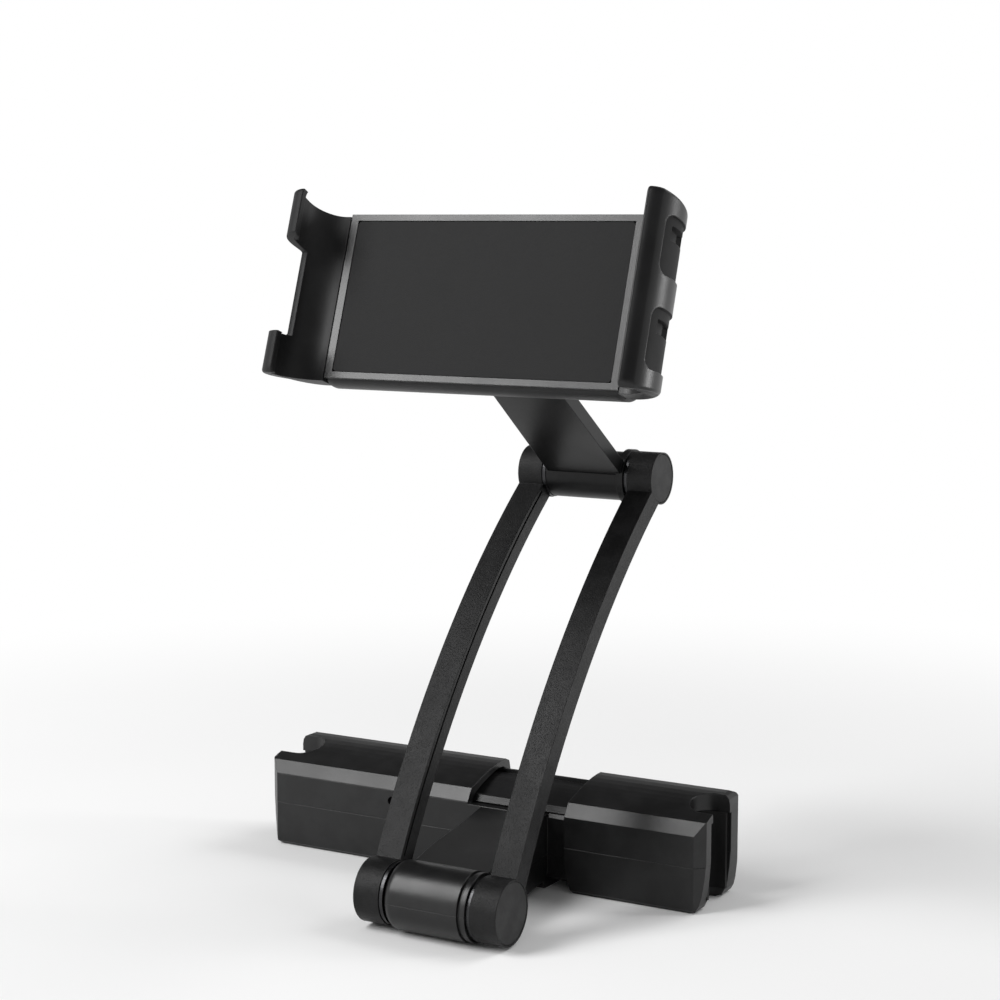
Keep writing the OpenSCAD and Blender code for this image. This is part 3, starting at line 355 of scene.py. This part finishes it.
def jaw_points(sign, cut):
    """Jaw as sections along its height h, with the faces of the finger pockets marked.

    Inner run: flat to FILLET_X, then d = R - R cos t and x = FILLET_X + R sin t, then the wall with its lip.
    Outer run: (ARC_X + r cos a, ARC_D + r sin a) with r = ARC_R less end rounding, the thin wall of the cut-out,
    the pockets as rounded rectangles in h and a, and a deeper hole in each pocket of the jaw without a cut-out.
    """
    ends = 1.0 - np.cos(np.linspace(0.0, math.pi / 2, 14))
    run = np.linspace(-JAW_HALF + 2.0, JAW_HALF - 2.0, 236)
    h = np.concatenate([-JAW_HALF + 2.0 * ends, run[1:-1], JAW_HALF - 2.0 * ends[::-1]])
    top = jaw_top(h, cut)[:, None]
    hh = h[:, None]
    rim = 0.35
    stop = top - rim
    lip = smooth((top - 13.0) / 4.0)
    drop = 1.3 * lip
    # inner run
    d1 = np.minimum(FILLET_R, 0.62 * stop)
    t = np.linspace(0.0, 1.0, 48)[None, :]
    turn = np.arccos(1.0 - d1 / FILLET_R) * t
    in_x = [np.repeat(np.array([[SEAM, 52.2]]), len(h), 0), FILLET_X + FILLET_R * np.sin(turn)]
    in_d = [np.zeros((len(h), 2)), FILLET_R - FILLET_R * np.cos(turn)]
    t = np.linspace(0.0, 1.0, 72)[None, 1:]
    d = d1 + (stop - d1) * t
    wall = FILLET_X + np.sqrt(FILLET_R ** 2 - np.clip(FILLET_R - d, 0.0, FILLET_R) ** 2)
    in_x.append(wall - LIP_WIDTH * lip * smooth((d - (top - LIP_HEIGHT)) / 1.6))
    in_d.append(d)
    # outer run
    a1 = np.arcsin(np.clip((stop - drop - ARC_D) / ARC_R, -1.0, 1.0))
    t = np.linspace(0.0, 1.0, 130)[None, :]
    a = ARC_START + (a1 - ARC_START) * t
    e = np.clip((np.abs(hh) - (JAW_HALF - 1.0)) / 1.0, 0.0, 1.0)
    radius = np.full(a.shape, ARC_R) - 0.9 * (1.0 - np.sqrt(1.0 - 0.97 * e * e))
    if cut:
        zone = smooth((hh + 16.4) / 2.0) * smooth((14.6 - hh) / 2.6)
        radius = radius - CUT_THINNING * zone * smooth((a + 1.35) / 0.5)
    # finger pockets, under the cut-out where there is one
    pocket_a, pocket_half = (-0.74, 0.46) if cut else (-0.25, 0.74)
    sunk_out = np.zeros(a.shape, bool)
    for low, high in POCKETS:
        mid, half, corner = (low + high) / 2, (high - low) / 2, POCKET_CORNER
        u = np.abs(hh - mid) - (half - corner)
        v = np.abs(a - pocket_a) * ARC_R - (pocket_half * ARC_R - corner)
        gap = np.hypot(np.maximum(u, 0.0), np.maximum(v, 0.0)) + np.minimum(np.maximum(u, v), 0.0) - corner
        radius = radius - POCKET_DEPTH * smooth(0.5 - gap / STEP_WIDTH)
        sunk_out = sunk_out | (gap < 0.05)
        if not cut:
            hole_u = np.abs(hh - (high - 5.1)) - 1.9
            hole_v = np.abs(a * ARC_R + 2.2) - 5.6
            radius = radius - HOLE_DEPTH * smooth(0.5 - np.maximum(hole_u, hole_v) / STEP_WIDTH)
    out_x = np.maximum(ARC_X + radius * np.cos(a), SEAM)
    out_d = ARC_D + radius * np.sin(a)
    # rim between the two runs
    x0, x1 = in_x[2][:, -1:], out_x[:, -1:]
    q = np.linspace(0.0, math.pi / 2, 9)[None, 1:]
    u = 0.12 * (1.0 - np.cos(q))
    in_x.append(x0 + (x1 - x0) * u)
    in_d.append(stop + rim * np.sin(q))
    u = np.concatenate([np.linspace(1.0, 0.3, 10), [0.2, 0.13]])[None, 1:]
    rim_x = x0 + (x1 - x0) * u
    rim_d = top - (rim + drop) * u ** 2.2
    inner = np.stack([np.concatenate(in_x, 1), np.concatenate(in_d, 1)], -1)
    outer = np.stack([np.concatenate([out_x, rim_x], 1), np.concatenate([out_d, rim_d], 1)], -1)
    count = min(inner.shape[1], outer.shape[1])
    pick_in = np.round(np.linspace(0, inner.shape[1] - 1, count)).astype(int)
    pick_out = np.round(np.linspace(0, outer.shape[1] - 1, count)).astype(int)
    loop = np.concatenate([inner[:, pick_in], outer[:, pick_out][:, ::-1]], 1)
    # the ends slope inwards from the lip to the back, more at the top than at the bottom
    slope = np.clip(1.0 - loop[..., 1] / HOOK_D, 0.0, 1.0) * np.where(hh > 0.0, END_SLOPE_TOP, END_SLOPE_BOTTOM)
    heights = hh - np.sign(hh) * slope * smooth((np.abs(hh) - 20.0) / (JAW_HALF - 20.0))
    sunk_out = np.concatenate([sunk_out, np.zeros(rim_x.shape, bool)], 1)
    sunk = np.concatenate([np.zeros((len(h), count), bool), sunk_out[:, pick_out][:, ::-1]], 1)
    return in_cradle(sign * loop[..., 0], heights, loop[..., 1]), sunk


points, sunk = jaw_points(1.0, False)
right_jaw = bar_piece("right_jaw_moulding", points, jaw_black, inset=sunk, inset_material=grip_black)
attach(right_jaw, "right_jaw")
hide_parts("right_jaw", "right_grips")
points, sunk = jaw_points(-1.0, True)
left_jaw = bar_piece("left_jaw_moulding", points, hook_black, inset=sunk, inset_material=grip_black)
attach(left_jaw, "left_jaw")
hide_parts("left_jaw", "left_grips")


def rim_points(side):
    """Rounded flank of the cradle's body along x, one closed section per row, on the side h > 0 or h < 0.

    From the groove at d = -1.35 to the back, d = -1.35 - 11.6 q and h = edge - 0.6 + bulge sin(pi q^0.75)^0.62.
    """
    edge = 25.7 if side > 0 else 26.7
    bulge = 28.9 - edge
    x = np.concatenate([[-51.3, -51.0], np.linspace(-50.6, 50.6, 60), [51.0, 51.3]])
    shrink = np.concatenate([[0.35, 0.15], np.zeros(60), [0.15, 0.35]])
    q = np.linspace(0.0, 1.0, 40)
    outer_h = edge - 0.6 + bulge * np.sin(math.pi * q ** 0.75) ** 0.62
    outer_d = -1.35 - 11.6 * q
    inner_h = np.full(40, edge - 2.6)
    inner_d = -1.45 - 11.4 * q
    h = np.concatenate([inner_h, outer_h[::-1]])
    d = np.concatenate([inner_d, outer_d[::-1]])
    hh = side * (h[None, :] - shrink[:, None] * (h[None, :] > edge - 1.0))
    dd = np.repeat(d[None, :], len(x), 0)
    return in_cradle(np.repeat(x[:, None], len(h), 1), hh, dd)


for side, label in ((1.0, "top"), (-1.0, "bottom")):
    flank = bar_piece("cradle_flank_" + label, rim_points(side), cradle_black, 40.0)
    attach(flank, "cradle")



# Stage: pale floor that fades to white away from the object, white backdrop, soft boxes

def floor():
    """Pale floor round the object, fading with the distance to plain white."""
    g = Graph("floor")
    x, y, _ = g.xyz()
    away = ((x - 0.02) * (x - 0.02) + (y + 0.05) * (y + 0.05)) ** 0.5
    fade = g.ramp(away, 0.22, 0.55)
    grain = g.noise(6.0, 2.0)
    pale = g.mix(g.ramp(grain, 0.3, 0.7), (0.88, 0.88, 0.88), (0.89, 0.89, 0.89))
    near = g.node("ShaderNodeBsdfDiffuse", None, Color=pale)
    far = g.node("ShaderNodeEmission", None, Color=(1.0, 1.0, 1.0), Strength=1.0)
    mixed = g.tree.nodes.new("ShaderNodeMixShader")
    g.tree.links.new(fade.socket, mixed.inputs[0])
    g.tree.links.new(near.outputs[0], mixed.inputs[1])
    g.tree.links.new(far.outputs[0], mixed.inputs[2])
    material = g.surface(mixed)
    mesh = bpy.data.meshes.new("floor")
    reach = 6.0
    corners = [(-reach, -reach, 0), (reach, -reach, 0), (reach, reach, 0), (-reach, reach, 0)]
    mesh.from_pydata(corners, [], [(0, 1, 2, 3)])
    obj = bpy.data.objects.new("floor", mesh)
    bpy.context.scene.collection.objects.link(obj)
    obj.data.materials.append(material)


def world():
    """White backdrop for the camera and low reflections, darker for reflections above 8 degrees.

    All other rays get a plain grey light.
    """
    w = bpy.data.worlds.new("studio")
    bpy.context.scene.world = w
    w.use_nodes = True
    tree = w.node_tree
    tree.nodes.clear()
    path = tree.nodes.new("ShaderNodeLightPath")
    seen = path.outputs["Is Camera Ray"]
    for extra in ("Is Glossy Ray", "Is Transmission Ray"):
        both = tree.nodes.new("ShaderNodeMath")
        both.operation = "MAXIMUM"
        tree.links.new(seen, both.inputs[0])
        tree.links.new(path.outputs[extra], both.inputs[1])
        seen = both.outputs[0]
    plain_light = tree.nodes.new("ShaderNodeBackground")
    plain_light.inputs[0].default_value = (1.0, 1.0, 1.0, 1.0)
    plain_light.inputs[1].default_value = 0.3
    white = tree.nodes.new("ShaderNodeBackground")
    white.inputs[0].default_value = (1.0, 1.0, 1.0, 1.0)
    where = tree.nodes.new("ShaderNodeTexCoord")
    split = tree.nodes.new("ShaderNodeSeparateXYZ")
    level = tree.nodes.new("ShaderNodeMapRange")
    level.interpolation_type = "SMOOTHSTEP"
    level.inputs["From Min"].default_value = 0.14
    level.inputs["From Max"].default_value = 0.42
    level.inputs["To Min"].default_value = 1.0
    level.inputs["To Max"].default_value = 0.1
    tree.links.new(where.outputs["Generated"], split.inputs[0])
    tree.links.new(split.outputs[2], level.inputs["Value"])
    straight = tree.nodes.new("ShaderNodeMath")
    straight.operation = "MAXIMUM"
    tree.links.new(level.outputs[0], straight.inputs[0])
    tree.links.new(path.outputs["Is Camera Ray"], straight.inputs[1])
    tree.links.new(straight.outputs[0], white.inputs[1])
    mixed = tree.nodes.new("ShaderNodeMixShader")
    output = tree.nodes.new("ShaderNodeOutputWorld")
    tree.links.new(seen, mixed.inputs[0])
    tree.links.new(plain_light.outputs[0], mixed.inputs[1])
    tree.links.new(white.outputs[0], mixed.inputs[2])
    tree.links.new(mixed.outputs[0], output.inputs[0])


def softbox(name, place, aim, width, height, power):
    """Rectangular area lamp at place, turned towards aim."""
    data = bpy.data.lights.new(name, "AREA")
    data.shape = "RECTANGLE"
    data.size = width
    data.size_y = height
    data.energy = power
    obj = bpy.data.objects.new(name, data)
    bpy.context.scene.collection.objects.link(obj)
    a = np.array(aim, float) - np.array(place, float)
    length = float(np.linalg.norm(a))
    yaw = math.atan2(a[0], -a[1])
    tilt = math.acos(-a[2] / length)
    obj.location = place
    obj.rotation_euler = (tilt, 0.0, yaw + math.pi)
    return obj


floor()
world()
softbox("key_left", (-0.75, -0.9, 0.76), (0.0, -0.05, 0.14), 0.55, 0.55, 7.6)
softbox("key_high", (-0.6, -0.6, 1.08), (0.0, -0.05, 0.06), 0.55, 0.35, 6.5)
softbox("back_right", (0.8, 0.9, 1.3), (0.0, 0.0, 0.1), 1.0, 0.8, 10.0)
softbox("side_right", (1.05, 0.52, 0.28), (0.05, -0.04, 0.19), 0.22, 0.3, 3.4)

# Camera at the photograph's viewing angle, solved from its straight edges

camera_data = bpy.data.cameras.new("camera")
camera_data.lens = 77.005
camera_data.sensor_width = 36.0
camera_data.clip_start = 0.01
camera = bpy.data.objects.new("camera", camera_data)
bpy.context.scene.collection.objects.link(camera)
camera.location = (0.32557, -0.60837, 0.21708)
camera.rotation_euler = (math.radians(82.4665), 0.0, math.radians(29.483))
bpy.context.scene.camera = camera
bpy.context.scene.view_settings.view_transform = "Standard"
